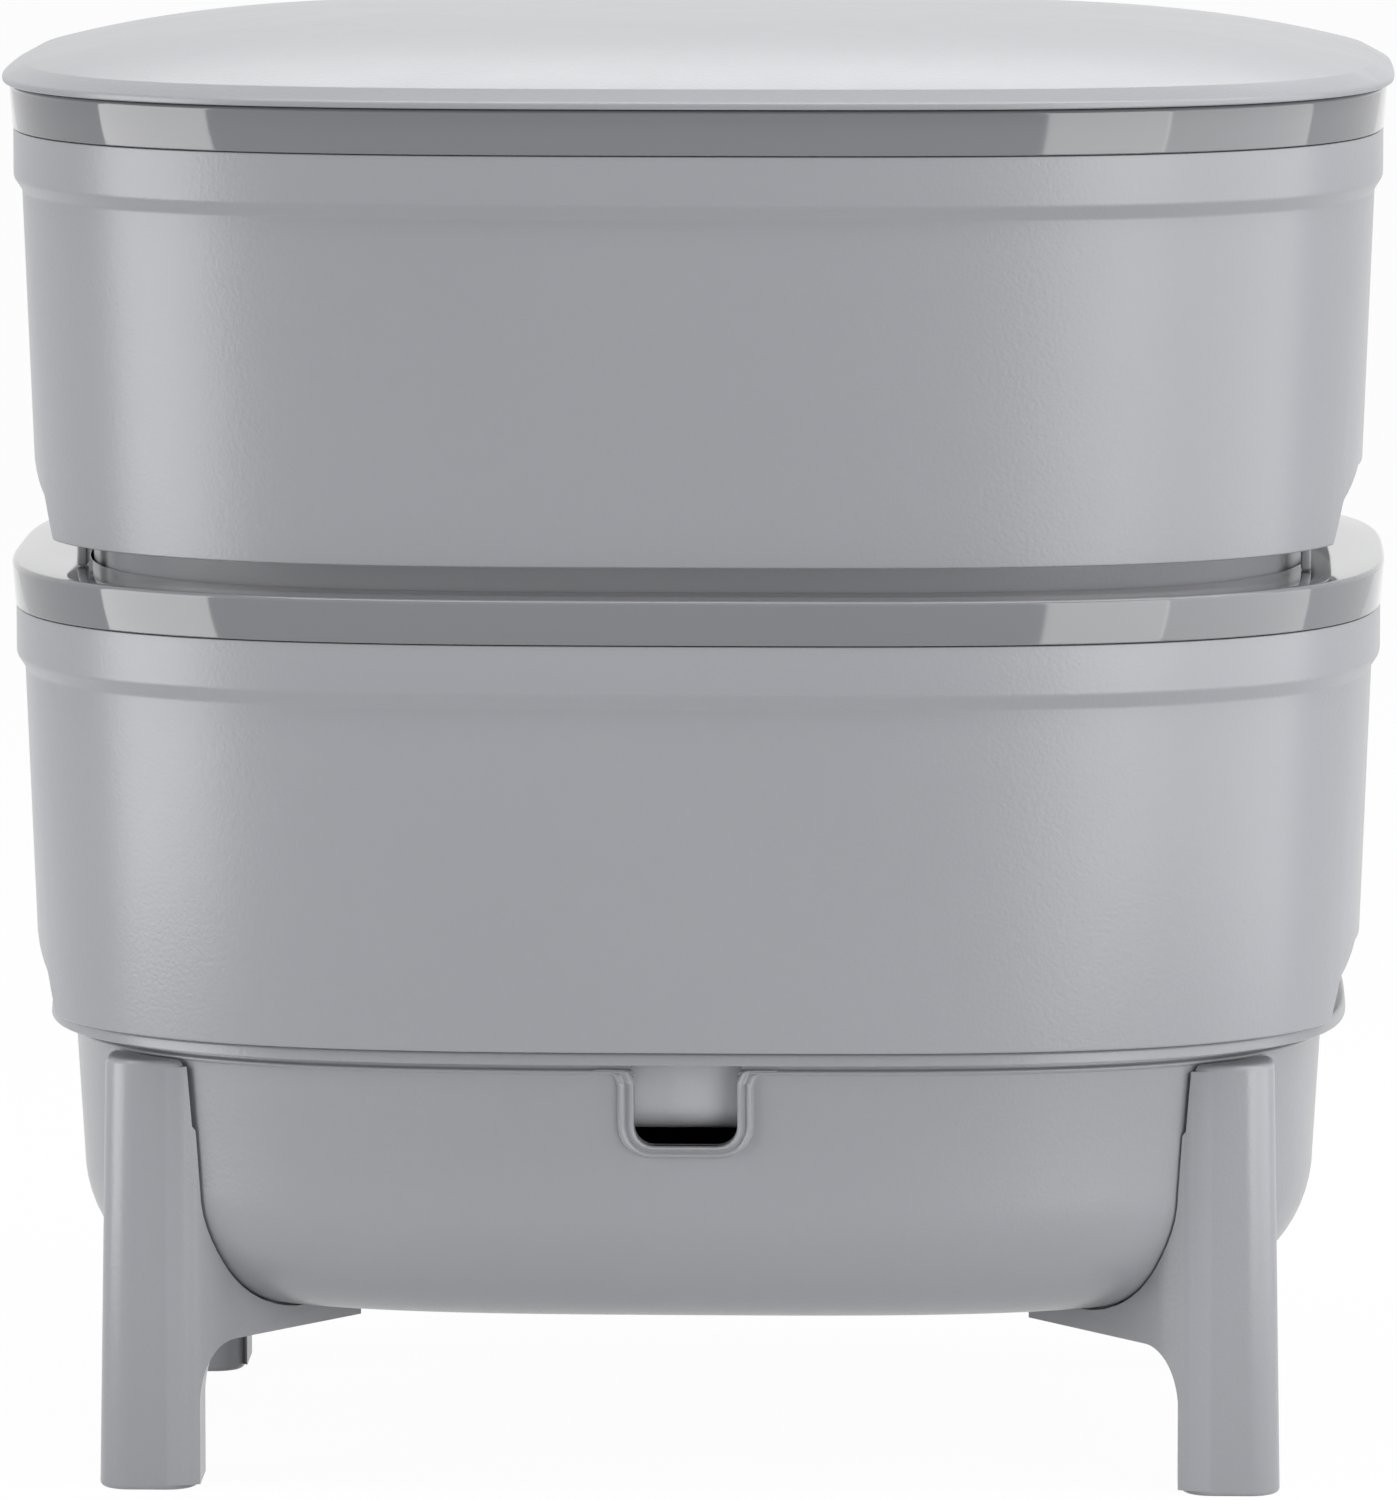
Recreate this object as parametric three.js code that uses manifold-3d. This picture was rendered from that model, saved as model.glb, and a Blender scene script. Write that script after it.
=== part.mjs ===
// Oval indoor wormery: a collecting tray on four legs, two stacked worm trays and a domed lid.
// Millimetres. +Z is up, the floor is at zero and the front faces -Y.
import * as THREE from 'three';
import Module from 'manifold-3d';
import { mergeVertices } from 'three/addons/utils/BufferGeometryUtils.js';

const wasm = await Module();
wasm.setup();

// Reference oval: every round piece is this superellipse, set in or out by an inset.
const OVAL_HALF_WIDTH = 188;
const OVAL_HALF_DEPTH = 141;
const OVAL_POWER = 3.2;
const OVAL_SEGMENTS = 40;

// Clearances
const SEAT_GAP = 0.3;
const SIDE_GAP = 0.4;
const CUTTER_MARGIN = 4;

// Rim ring, which caps each worm tray
const RING_HEIGHT = 12.1;
const RING_TOP_OUTSET = 0.8;
const RING_BOTTOM_INSET = 0.1;
const RING_SKIRT = 2.3;
const RING_PLATE = 2.3;
const RING_OPENING_INSET = 20.7;
const RING_EDGE = 1.2;
const RING_LIP_CHAMFER = 0.7;

// Shell of a worm tray
const SHELL_BODY_HEIGHT = 110.3;
const SHELL_BAND_INSET = 0.4;
const SHELL_BAND_HEIGHT = 13.4;
const SHELL_STEP_HEIGHT = 3.6;
const SHELL_STEP_INSET = 2.7;
const SHELL_BOTTOM_INSET = 6.3;
const SHELL_WALL = 2.2;
const SHELL_EDGE = 0.5;
const SHELL_REBATE_WALL = 2;
const SHELL_SHOULDER = 4;
const LEDGE_SETBACK = 2.2;
const LEDGE_THICKNESS = 2.2;

// Grip notch at both ends of each shell
const NOTCH_HALF_BOTTOM = 72;
const NOTCH_HALF_SHOULDER = 65;
const NOTCH_HALF_TOP = 45;
const NOTCH_SHOULDER = 11.5;
const NOTCH_HEIGHT = 19;
const NOTCH_BAND = 5;

// Posts that carry the upper tray on the lower one
const POST_LENGTH = 7.6;
const POST_THICKNESS = 2.7;
const POST_WIDTH = 8;
const POST_HALF_SPACING = 61;
const POST_ROOT = 1;

// Slotted basket hung inside each shell
const BASKET_LIP = 2.2;
const BASKET_LIP_EDGE = 0.6;
const BASKET_WALL = 2;
const BASKET_SETBACK = 2.8;
const BASKET_DROP = 23.5;
const BASKET_DROP_GAP = 1.2;
const BASKET_CORNER = 8;
const BASKET_FLOOR = 2.5;
const SLOT_LENGTH = 22;
const SLOT_WIDTH = 3;
const SLOT_PITCH_X = 34;
const SLOT_PITCH_Y = 34;
const SLOT_COLUMNS = 8;
const SLOT_ROWS = 5;

// Collecting tray
const TRAY_UNDERSIDE = 46.4;
const TRAY_HEIGHT = 78.3;
const TRAY_SETBACK = 4.7;
const TRAY_DRAFT = 2.1;
const TRAY_WALL = 2.2;
const TRAY_FLOOR = 2.5;
const TRAY_CORNER = 36;
const FLANGE_SETBACK = 2.9;
const FLANGE_THICKNESS = 3.5;
const FLANGE_EDGE = 0.4;
const FLANGE_FILLET = 1.2;
const RIDGE_DROP = 5.4;
const RIDGE_HEIGHT = 1.5;
const RIDGE_PROUD = 1;
const RIDGE_SOFTNESS = 0.2;

// U window in the front of the collecting tray
const WINDOW_HALF_WIDTH = 13.9;
const WINDOW_HEIGHT = 22.5;
const WINDOW_CORNER = 5.4;
const WINDOW_FLARE = 1.6;
const WINDOW_FLARE_HEIGHT = 3;
const FRAME_BORDER = 4.7;
const FRAME_SILL = 3.4;
const FRAME_CORNER = 9;
const FRAME_PROUD = 1.8;
const FRAME_ROOT = 1;
const FRAME_FILLET = 3;

// Legs: the front and the inner side are upright, the other two sides taper
const LEG_HEIGHT = 118;
const LEG_FOOT_WIDTH = 26.8;
const LEG_TOP_WIDTH = 24.7;
const LEG_SIDE_SETBACK = 54.5;
const LEG_FRONT_SETBACK = 35.5;
const LEG_CORNER = 8.5;
const LEG_FOOT_EDGE = 1.2;
const LEG_TOP_EDGE = 1.6;
const LEG_JOG_HEIGHT = 98.6;
const LEG_JOG_GAP = 1.5;
const LEG_JOG_RISE = 1.2;

// Fin that carries the collecting tray: it leaves the post's front face along an arc and runs inward
const FIN_THICKNESS = 14;
const FIN_BEND_START = 7.5;
const FIN_BEND = 20;
const FIN_TURN_DEGREES = 52;
const FIN_REACH = 34.5;
const FIN_DEPTH = 5.6;
const FIN_OVERLAP = 0.9;
const FIN_FILLET_WIDTH = 9;
const FIN_FILLET_HEIGHT = 17;
const FIN_STEPS = 5;

// Lid
const LID_OVERHANG = 1.7;
const LID_SIDE = 1.7;
const LID_SIDE_DRAFT = 0.3;
const LID_BEVEL_WIDTH = 6;
const LID_BEVEL_HEIGHT = 3.3;
const LID_DOME_RISE = 12.5;
const LID_DOME_POWER = 3;
const LID_DOME_SHARES = [0, 0.07, 0.16, 0.28, 0.44, 0.64, 1];
const LID_SKIN = 2.2;
const LID_RIM = 6.5;
const LID_RIB_GAP = 1.2;
const LID_RIB_WIDTH = 2;
const LID_RIB_DEPTH = 4;

const ARC_STEPS = 4;

// Insets and heights that follow from the sizes above
const RING_INSIDE = RING_BOTTOM_INSET + RING_SKIRT;
const REBATE_OUTSIDE = RING_INSIDE + SIDE_GAP;
const REBATE_INSIDE = REBATE_OUTSIDE + SHELL_REBATE_WALL;
const LEDGE_INSIDE = RING_OPENING_INSET - LEDGE_SETBACK;
const NOTCH_INSIDE = LEDGE_INSIDE - NOTCH_BAND;
const RING_BASE = SHELL_BODY_HEIGHT + SEAT_GAP;
const RING_TOP = RING_BASE + RING_HEIGHT;
const LIP_TOP = RING_TOP - RING_PLATE - SEAT_GAP;
const LIP_UNDERSIDE = LIP_TOP - BASKET_LIP;
const SHELL_TOP = LIP_UNDERSIDE - SEAT_GAP;
const BASKET_TOP_OUTSIDE = RING_OPENING_INSET - BASKET_SETBACK;
const BASKET_BOTTOM_OUTSIDE = RING_OPENING_INSET + BASKET_DROP_GAP;
const TRAY_TOP_OUTSIDE = RING_OPENING_INSET - TRAY_SETBACK;
const TRAY_BOTTOM_OUTSIDE = TRAY_TOP_OUTSIDE + TRAY_DRAFT;
const FLANGE_OUTSIDE = SHELL_BOTTOM_INSET + FLANGE_SETBACK;
const FLANGE_UNDERSIDE = TRAY_HEIGHT - FLANGE_THICKNESS;
const TRAY_PITCH = RING_TOP + POST_LENGTH + SEAT_GAP;
const LOWER_SHELL_BASE = TRAY_UNDERSIDE + TRAY_HEIGHT + SEAT_GAP;
const UPPER_SHELL_BASE = LOWER_SHELL_BASE + TRAY_PITCH;
const LID_BASE = UPPER_SHELL_BASE + RING_TOP + SEAT_GAP;
const FRAME_HALF_WIDTH = WINDOW_HALF_WIDTH + FRAME_BORDER;
const LEG_INNER_SIDE = OVAL_HALF_WIDTH - LEG_SIDE_SETBACK;
const LEG_FRONT = OVAL_HALF_DEPTH - LEG_FRONT_SETBACK;

const PLASTIC = { color: 0xaeb3b7, roughness: 0.55, metalness: 0 };
const GLOSS_PLASTIC = { color: 0xa3a8ac, roughness: 0.12, metalness: 0 };

// Points of the unit oval, mirror images exactly equal
function unitOval() {
  const quadrant = OVAL_SEGMENTS / 4;
  const rise = [];
  for (let step = 0; step <= quadrant; step += 1) {
    const sine = step === quadrant ? 1 : Math.sin((step / quadrant) * (Math.PI / 2));
    rise.push(sine ** (2 / OVAL_POWER));
  }
  const points = [];
  for (let turn = 0; turn < 4; turn += 1) {
    for (let step = 0; step < quadrant; step += 1) {
      const along = rise[quadrant - step];
      const across = rise[step];
      const turned = [[along, across], [-across, along], [-along, -across], [across, -along]];
      points.push(turned[turn]);
    }
  }
  return points;
}

const UNIT_OVAL = unitOval();

// Half-width of the oval with this inset, at a distance from its long axis
function ovalReach(inset, distance) {
  const share = Math.abs(distance) / (OVAL_HALF_DEPTH - inset);
  return (OVAL_HALF_WIDTH - inset) * (1 - share ** OVAL_POWER) ** (1 / OVAL_POWER);
}

function weld(geometry) {
  geometry.deleteAttribute('normal');
  geometry.deleteAttribute('uv');
  const merged = mergeVertices(geometry);
  const index = merged.getIndex().array;
  const kept = [];
  for (let corner = 0; corner < index.length; corner += 3) {
    const [a, b, c] = [index[corner], index[corner + 1], index[corner + 2]];
    if (a !== b && b !== c && c !== a) kept.push(a, b, c);
  }
  merged.setIndex(kept);
  return merged;
}

function toSolid(geometry) {
  const welded = weld(geometry);
  return new wasm.Manifold(new wasm.Mesh({
    numProp: 3,
    vertProperties: Float32Array.from(welded.getAttribute('position').array),
    triVerts: Uint32Array.from(welded.getIndex().array),
  }));
}

// Sweeps a profile of [inset, height] points round the oval. The profile either closes on itself
// or starts and ends on the middle line; its outer side runs upward.
function ovalSolid(profile) {
  const positions = [];
  for (const [inset, height] of profile) {
    for (const [x, y] of UNIT_OVAL) {
      const reach = Math.max(0, OVAL_HALF_DEPTH - inset);
      positions.push((OVAL_HALF_WIDTH - inset) * x, reach * y, height);
    }
  }
  const index = [];
  for (let row = 0; row + 1 < profile.length; row += 1) {
    for (let step = 0; step < OVAL_SEGMENTS; step += 1) {
      const next = (step + 1) % OVAL_SEGMENTS;
      const [a, b] = [row * OVAL_SEGMENTS + step, row * OVAL_SEGMENTS + next];
      const [c, d] = [a + OVAL_SEGMENTS, b + OVAL_SEGMENTS];
      index.push(a, b, d, a, d, c);
    }
  }
  const geometry = new THREE.BufferGeometry();
  geometry.setAttribute('position', new THREE.Float32BufferAttribute(positions, 3));
  geometry.setIndex(index);
  return toSolid(geometry);
}

// Points of an arc in a profile, angles in quarter turns from the outward direction
function profileArc(inset, height, radius, from, to) {
  const points = [];
  for (let step = 0; step <= ARC_STEPS; step += 1) {
    const angle = (from + ((to - from) * step) / ARC_STEPS) * (Math.PI / 2);
    points.push([inset - radius * Math.cos(angle), height + radius * Math.sin(angle)]);
  }
  return points;
}

function raised(profile, base) {
  return profile.map(([inset, height]) => [inset, height + base]);
}

// Brings a profile back to its first point
function closed(profile) {
  return [...profile, profile[0]];
}

// Extrudes a shape drawn in (u, v), placed by the directions of u, v and the depth
function prism(shape, depth, origin, uAxis, vAxis) {
  const geometry = new THREE.ExtrudeGeometry(shape, {
    depth, bevelEnabled: false, curveSegments: ARC_STEPS, steps: 1,
  });
  const depthAxis = new THREE.Vector3().crossVectors(uAxis, vAxis);
  const placement = new THREE.Matrix4().makeBasis(uAxis, vAxis, depthAxis);
  geometry.applyMatrix4(placement.setPosition(origin));
  return toSolid(geometry);
}

function boxSolid(width, depth, height, x, y, z) {
  const geometry = new THREE.BoxGeometry(width, depth, height);
  geometry.translate(x, y, z);
  return toSolid(geometry);
}

const X_AXIS = new THREE.Vector3(1, 0, 0);
const Y_AXIS = new THREE.Vector3(0, 1, 0);
const Z_AXIS = new THREE.Vector3(0, 0, 1);
const SIDES = [-1, 1];

function ringSolid(base) {
  const profile = [
    [RING_BOTTOM_INSET, RING_BASE],
    ...profileArc(RING_EDGE - RING_TOP_OUTSET, RING_TOP - RING_EDGE, RING_EDGE, 0, 1),
    [RING_OPENING_INSET - RING_LIP_CHAMFER, RING_TOP],
    [RING_OPENING_INSET, RING_TOP - RING_LIP_CHAMFER],
    [RING_OPENING_INSET, RING_TOP - RING_PLATE],
    [RING_INSIDE, RING_TOP - RING_PLATE],
    [RING_INSIDE, RING_BASE],
  ];
  return ovalSolid(raised(closed(profile), base));
}

function shellProfile() {
  const bandFoot = SHELL_BODY_HEIGHT - SHELL_BAND_HEIGHT;
  const stepFoot = bandFoot - SHELL_STEP_HEIGHT;
  const stepMiddle = (bandFoot + stepFoot) / 2;
  const middleInset = (SHELL_BAND_INSET + SHELL_STEP_INSET) / 2;
  const shoulder = bandFoot + SHELL_SHOULDER + SHELL_WALL;
  return [
    [SHELL_BOTTOM_INSET + SHELL_EDGE, 0],
    [SHELL_BOTTOM_INSET, SHELL_EDGE],
    [SHELL_STEP_INSET, stepFoot],
    [middleInset, stepMiddle],
    [SHELL_BAND_INSET, bandFoot],
    [SHELL_BAND_INSET, SHELL_BODY_HEIGHT],
    [REBATE_OUTSIDE, SHELL_BODY_HEIGHT],
    [REBATE_OUTSIDE, SHELL_TOP],
    [REBATE_INSIDE, SHELL_TOP],
    [REBATE_INSIDE, shoulder],
    [SHELL_BAND_INSET + SHELL_WALL, shoulder - SHELL_WALL],
    [SHELL_BAND_INSET + SHELL_WALL, bandFoot],
    [SHELL_STEP_INSET + SHELL_WALL, stepFoot],
    [SHELL_BOTTOM_INSET + SHELL_WALL, LEDGE_THICKNESS],
    [LEDGE_INSIDE, LEDGE_THICKNESS],
    [LEDGE_INSIDE, 0],
  ];
}

function notchCutter(base) {
  const outline = new THREE.Shape();
  outline.moveTo(-NOTCH_HALF_BOTTOM, -CUTTER_MARGIN);
  outline.lineTo(NOTCH_HALF_BOTTOM, -CUTTER_MARGIN);
  outline.lineTo(NOTCH_HALF_BOTTOM, 0);
  outline.lineTo(NOTCH_HALF_SHOULDER, NOTCH_SHOULDER);
  outline.lineTo(NOTCH_HALF_TOP, NOTCH_HEIGHT);
  outline.lineTo(-NOTCH_HALF_TOP, NOTCH_HEIGHT);
  outline.lineTo(-NOTCH_HALF_SHOULDER, NOTCH_SHOULDER);
  outline.lineTo(-NOTCH_HALF_BOTTOM, 0);
  const reach = OVAL_HALF_WIDTH + CUTTER_MARGIN;
  const origin = new THREE.Vector3(-reach, 0, base);
  const bar = prism(outline, 2 * reach, origin, Y_AXIS, Z_AXIS);
  const core = ovalSolid([
    [OVAL_HALF_DEPTH, base - 2 * CUTTER_MARGIN],
    [NOTCH_INSIDE, base - 2 * CUTTER_MARGIN],
    [NOTCH_INSIDE, base + NOTCH_HEIGHT + CUTTER_MARGIN],
    [OVAL_HALF_DEPTH, base + NOTCH_HEIGHT + CUTTER_MARGIN],
  ]);
  return bar.subtract(core);
}

function shellSolid(base) {
  return ovalSolid(raised(closed(shellProfile()), base)).subtract(notchCutter(base));
}

function postSolid(side, end) {
  const height = POST_LENGTH + POST_ROOT;
  const reach = ovalReach(LEDGE_INSIDE - NOTCH_BAND / 2, POST_HALF_SPACING);
  const middle = UPPER_SHELL_BASE - POST_LENGTH + height / 2;
  return boxSolid(POST_THICKNESS, POST_WIDTH, height, side * reach, end * POST_HALF_SPACING, middle);
}

function upperShellSolid() {
  let solid = shellSolid(UPPER_SHELL_BASE);
  for (const side of SIDES) {
    for (const end of SIDES) solid = solid.add(postSolid(side, end));
  }
  return solid;
}

function basketProfile() {
  const floorInset = BASKET_BOTTOM_OUTSIDE + BASKET_CORNER;
  const innerCorner = BASKET_CORNER - BASKET_WALL;
  const cornerHeight = BASKET_CORNER - BASKET_DROP;
  return [
    [OVAL_HALF_DEPTH, -BASKET_DROP],
    ...profileArc(floorInset, cornerHeight, BASKET_CORNER, -1, 0),
    [BASKET_TOP_OUTSIDE, LIP_UNDERSIDE],
    [REBATE_OUTSIDE, LIP_UNDERSIDE],
    [REBATE_OUTSIDE, LIP_TOP],
    [BASKET_TOP_OUTSIDE + BASKET_WALL - BASKET_LIP_EDGE, LIP_TOP],
    [BASKET_TOP_OUTSIDE + BASKET_WALL, LIP_TOP - BASKET_LIP_EDGE],
    ...profileArc(floorInset, innerCorner + BASKET_FLOOR - BASKET_DROP, innerCorner, 0, -1),
    [OVAL_HALF_DEPTH, BASKET_FLOOR - BASKET_DROP],
  ];
}

function slotCutter(base) {
  const height = BASKET_FLOOR + 2 * CUTTER_MARGIN;
  const middle = base - BASKET_DROP + BASKET_FLOOR / 2;
  const slots = [];
  for (let column = 0; column < SLOT_COLUMNS; column += 1) {
    for (let row = 0; row < SLOT_ROWS; row += 1) {
      const x = (column - (SLOT_COLUMNS - 1) / 2) * SLOT_PITCH_X;
      const y = (row - (SLOT_ROWS - 1) / 2) * SLOT_PITCH_Y;
      slots.push(boxSolid(SLOT_LENGTH, SLOT_WIDTH, height, x, y, middle));
    }
  }
  return slots.reduce((joined, slot) => joined.add(slot));
}

function basketSolid(base) {
  return ovalSolid(raised(basketProfile(), base)).subtract(slotCutter(base));
}

// Outside of the collecting tray from the middle of its underside to the top of its wall
function trayOutside(growth, top) {
  const radius = TRAY_CORNER + growth;
  return [
    [OVAL_HALF_DEPTH, -growth],
    ...profileArc(TRAY_BOTTOM_OUTSIDE + TRAY_CORNER, TRAY_CORNER, radius, -1, 0),
    [TRAY_TOP_OUTSIDE - growth, top],
  ];
}

function trayProfile() {
  const ridgeTop = TRAY_HEIGHT - RIDGE_DROP;
  const ridgeFoot = ridgeTop - RIDGE_HEIGHT;
  const ridgeOutside = TRAY_TOP_OUTSIDE - RIDGE_PROUD;
  const innerCorner = TRAY_CORNER - TRAY_WALL;
  const innerInset = TRAY_BOTTOM_OUTSIDE + TRAY_CORNER;
  return [
    ...trayOutside(0, ridgeFoot),
    [ridgeOutside, ridgeFoot + RIDGE_SOFTNESS],
    [ridgeOutside, ridgeTop - RIDGE_SOFTNESS],
    [TRAY_TOP_OUTSIDE, ridgeTop],
    [TRAY_TOP_OUTSIDE, FLANGE_UNDERSIDE - FLANGE_FILLET],
    [TRAY_TOP_OUTSIDE - FLANGE_FILLET, FLANGE_UNDERSIDE],
    [FLANGE_OUTSIDE + FLANGE_EDGE, FLANGE_UNDERSIDE],
    [FLANGE_OUTSIDE, FLANGE_UNDERSIDE + FLANGE_EDGE],
    [FLANGE_OUTSIDE, TRAY_HEIGHT - FLANGE_EDGE],
    [FLANGE_OUTSIDE + FLANGE_EDGE, TRAY_HEIGHT],
    [TRAY_TOP_OUTSIDE + TRAY_WALL, TRAY_HEIGHT],
    ...profileArc(innerInset, innerCorner + TRAY_FLOOR, innerCorner, 0, -1),
    [OVAL_HALF_DEPTH, TRAY_FLOOR],
  ];
}

function windowOutline() {
  const top = TRAY_UNDERSIDE + FLANGE_UNDERSIDE - FLANGE_EDGE;
  const sill = top - WINDOW_HEIGHT;
  const outline = new THREE.Shape();
  outline.moveTo(-WINDOW_HALF_WIDTH, sill + WINDOW_CORNER);
  outline.absarc(-WINDOW_HALF_WIDTH + WINDOW_CORNER, sill + WINDOW_CORNER, WINDOW_CORNER,
    Math.PI, Math.PI * 1.5, false);
  outline.absarc(WINDOW_HALF_WIDTH - WINDOW_CORNER, sill + WINDOW_CORNER, WINDOW_CORNER,
    -Math.PI / 2, 0, false);
  outline.lineTo(WINDOW_HALF_WIDTH, top - WINDOW_FLARE_HEIGHT);
  outline.lineTo(WINDOW_HALF_WIDTH + WINDOW_FLARE, top);
  outline.lineTo(-WINDOW_HALF_WIDTH - WINDOW_FLARE, top);
  outline.lineTo(-WINDOW_HALF_WIDTH, top - WINDOW_FLARE_HEIGHT);
  return outline;
}

function frameOutline() {
  const top = TRAY_UNDERSIDE + TRAY_HEIGHT - RIDGE_DROP - RIDGE_SOFTNESS;
  const filletTop = top - RIDGE_HEIGHT + 2 * RIDGE_SOFTNESS;
  const windowTop = TRAY_UNDERSIDE + FLANGE_UNDERSIDE - FLANGE_EDGE;
  const foot = windowTop - WINDOW_HEIGHT - FRAME_SILL;
  const filletReach = FRAME_HALF_WIDTH + FRAME_FILLET;
  const outline = new THREE.Shape();
  outline.moveTo(-FRAME_HALF_WIDTH, foot + FRAME_CORNER);
  outline.absarc(-FRAME_HALF_WIDTH + FRAME_CORNER, foot + FRAME_CORNER, FRAME_CORNER,
    Math.PI, Math.PI * 1.5, false);
  outline.absarc(FRAME_HALF_WIDTH - FRAME_CORNER, foot + FRAME_CORNER, FRAME_CORNER,
    -Math.PI / 2, 0, false);
  outline.lineTo(FRAME_HALF_WIDTH, filletTop - FRAME_FILLET);
  outline.absarc(filletReach, filletTop - FRAME_FILLET, FRAME_FILLET, Math.PI, Math.PI / 2, true);
  outline.lineTo(filletReach, top);
  outline.lineTo(-filletReach, top);
  outline.lineTo(-filletReach, filletTop);
  outline.absarc(-filletReach, filletTop - FRAME_FILLET, FRAME_FILLET, Math.PI / 2, 0, true);
  return outline;
}

function collectingTraySolid() {
  const body = ovalSolid(raised(trayProfile(), TRAY_UNDERSIDE));
  const wallFace = OVAL_HALF_DEPTH - TRAY_TOP_OUTSIDE;
  const wallTop = TRAY_HEIGHT - RIDGE_DROP - RIDGE_HEIGHT;
  const slope = TRAY_DRAFT / (wallTop - TRAY_CORNER);
  const frameDepth = FRAME_PROUD + FRAME_ROOT;
  const frameY = slope * (TRAY_UNDERSIDE + wallTop) - wallFace + FRAME_ROOT;
  const upTheWall = new THREE.Vector3(0, -slope, 1);
  const frame = prism(frameOutline(), frameDepth, new THREE.Vector3(0, frameY, 0), X_AXIS, upTheWall);
  const windowOrigin = new THREE.Vector3(0, -wallFace + TRAY_WALL + CUTTER_MARGIN, 0);
  const windowDepth = TRAY_WALL + FRAME_PROUD + 2 * CUTTER_MARGIN;
  const opening = prism(windowOutline(), windowDepth, windowOrigin, X_AXIS, Z_AXIS);
  return body.add(frame).subtract(opening);
}

// Corner points of a rounded square
function roundedSquare(halfSize, radius) {
  const points = [];
  const offset = halfSize - radius;
  const centres = [[offset, offset], [-offset, offset], [-offset, -offset], [offset, -offset]];
  centres.forEach(([x, y], corner) => {
    for (let step = 0; step <= ARC_STEPS; step += 1) {
      const angle = (corner + step / ARC_STEPS) * (Math.PI / 2);
      points.push([x + radius * Math.cos(angle), y + radius * Math.sin(angle)]);
    }
  });
  return points;
}

// Post of the front right leg, lofted through rounded squares
function legPost() {
  const levels = [0, LEG_FOOT_EDGE, LEG_HEIGHT - LEG_TOP_EDGE, LEG_HEIGHT];
  const edges = [LEG_FOOT_EDGE, 0, 0, LEG_TOP_EDGE];
  const positions = [];
  let count = 0;
  levels.forEach((level, row) => {
    const half = (LEG_FOOT_WIDTH + (LEG_TOP_WIDTH - LEG_FOOT_WIDTH) * (level / LEG_HEIGHT)) / 2;
    const ring = roundedSquare(half - edges[row], LEG_CORNER - edges[row]);
    count = ring.length;
    for (const [x, y] of ring) positions.push(LEG_INNER_SIDE + half + x, half - LEG_FRONT + y, level);
  });
  const index = [];
  for (let row = 0; row + 1 < levels.length; row += 1) {
    for (let step = 0; step < count; step += 1) {
      const next = (step + 1) % count;
      const [a, b] = [row * count + step, row * count + next];
      index.push(a, b, b + count, a, b + count, a + count);
    }
  }
  const lastRow = (levels.length - 1) * count;
  for (let step = 1; step + 1 < count; step += 1) {
    index.push(0, step + 1, step);
    index.push(lastRow, lastRow + step, lastRow + step + 1);
  }
  const geometry = new THREE.BufferGeometry();
  geometry.setAttribute('position', new THREE.Float32BufferAttribute(positions, 3));
  geometry.setIndex(index);
  return toSolid(geometry);
}

// Outline of the fin of the front right leg, seen from above
function finPlan() {
  const turn = (FIN_TURN_DEGREES / 180) * Math.PI;
  const bendStart = LEG_INNER_SIDE + FIN_BEND_START;
  const plan = new THREE.Shape();
  plan.moveTo(bendStart, FIN_THICKNESS - LEG_FRONT);
  plan.lineTo(bendStart, -LEG_FRONT);
  let x = bendStart;
  let y = -LEG_FRONT;
  for (let step = 1; step <= FIN_STEPS; step += 1) {
    const angle = (step / FIN_STEPS) * turn;
    x = bendStart - FIN_BEND * Math.sin(angle);
    y = FIN_BEND * (1 - Math.cos(angle)) - LEG_FRONT;
    plan.lineTo(x, y);
  }
  const tipX = x - FIN_REACH;
  const tipY = y + FIN_REACH * Math.tan(turn);
  plan.lineTo(tipX, tipY);
  plan.lineTo(tipX + FIN_THICKNESS * Math.sin(turn), tipY + FIN_THICKNESS * Math.cos(turn));
  plan.lineTo(x + FIN_THICKNESS * Math.sin(turn), y + FIN_THICKNESS * Math.cos(turn));
  return plan;
}

// Space below the fin, seen from the front
function archOutline() {
  const side = LEG_INNER_SIDE - FIN_OVERLAP;
  const under = TRAY_UNDERSIDE - SIDE_GAP - FIN_DEPTH;
  const outline = new THREE.Shape();
  outline.moveTo(side, -CUTTER_MARGIN);
  outline.lineTo(side, under - FIN_FILLET_HEIGHT);
  outline.absellipse(side - FIN_FILLET_WIDTH, under - FIN_FILLET_HEIGHT, FIN_FILLET_WIDTH,
    FIN_FILLET_HEIGHT, 0, Math.PI / 2, false);
  outline.lineTo(0, under);
  outline.lineTo(0, -CUTTER_MARGIN);
  return outline;
}

// Fin of the front right leg, reaching under the collecting tray
function legFin() {
  const height = LEG_HEIGHT - LEG_TOP_EDGE - LEG_FOOT_EDGE;
  const foot = new THREE.Vector3(0, 0, LEG_FOOT_EDGE);
  const fin = prism(finPlan(), height, foot, X_AXIS, Y_AXIS);
  const arch = prism(archOutline(), OVAL_HALF_DEPTH, new THREE.Vector3(), X_AXIS, Z_AXIS);
  return fin.subtract(arch);
}

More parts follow.
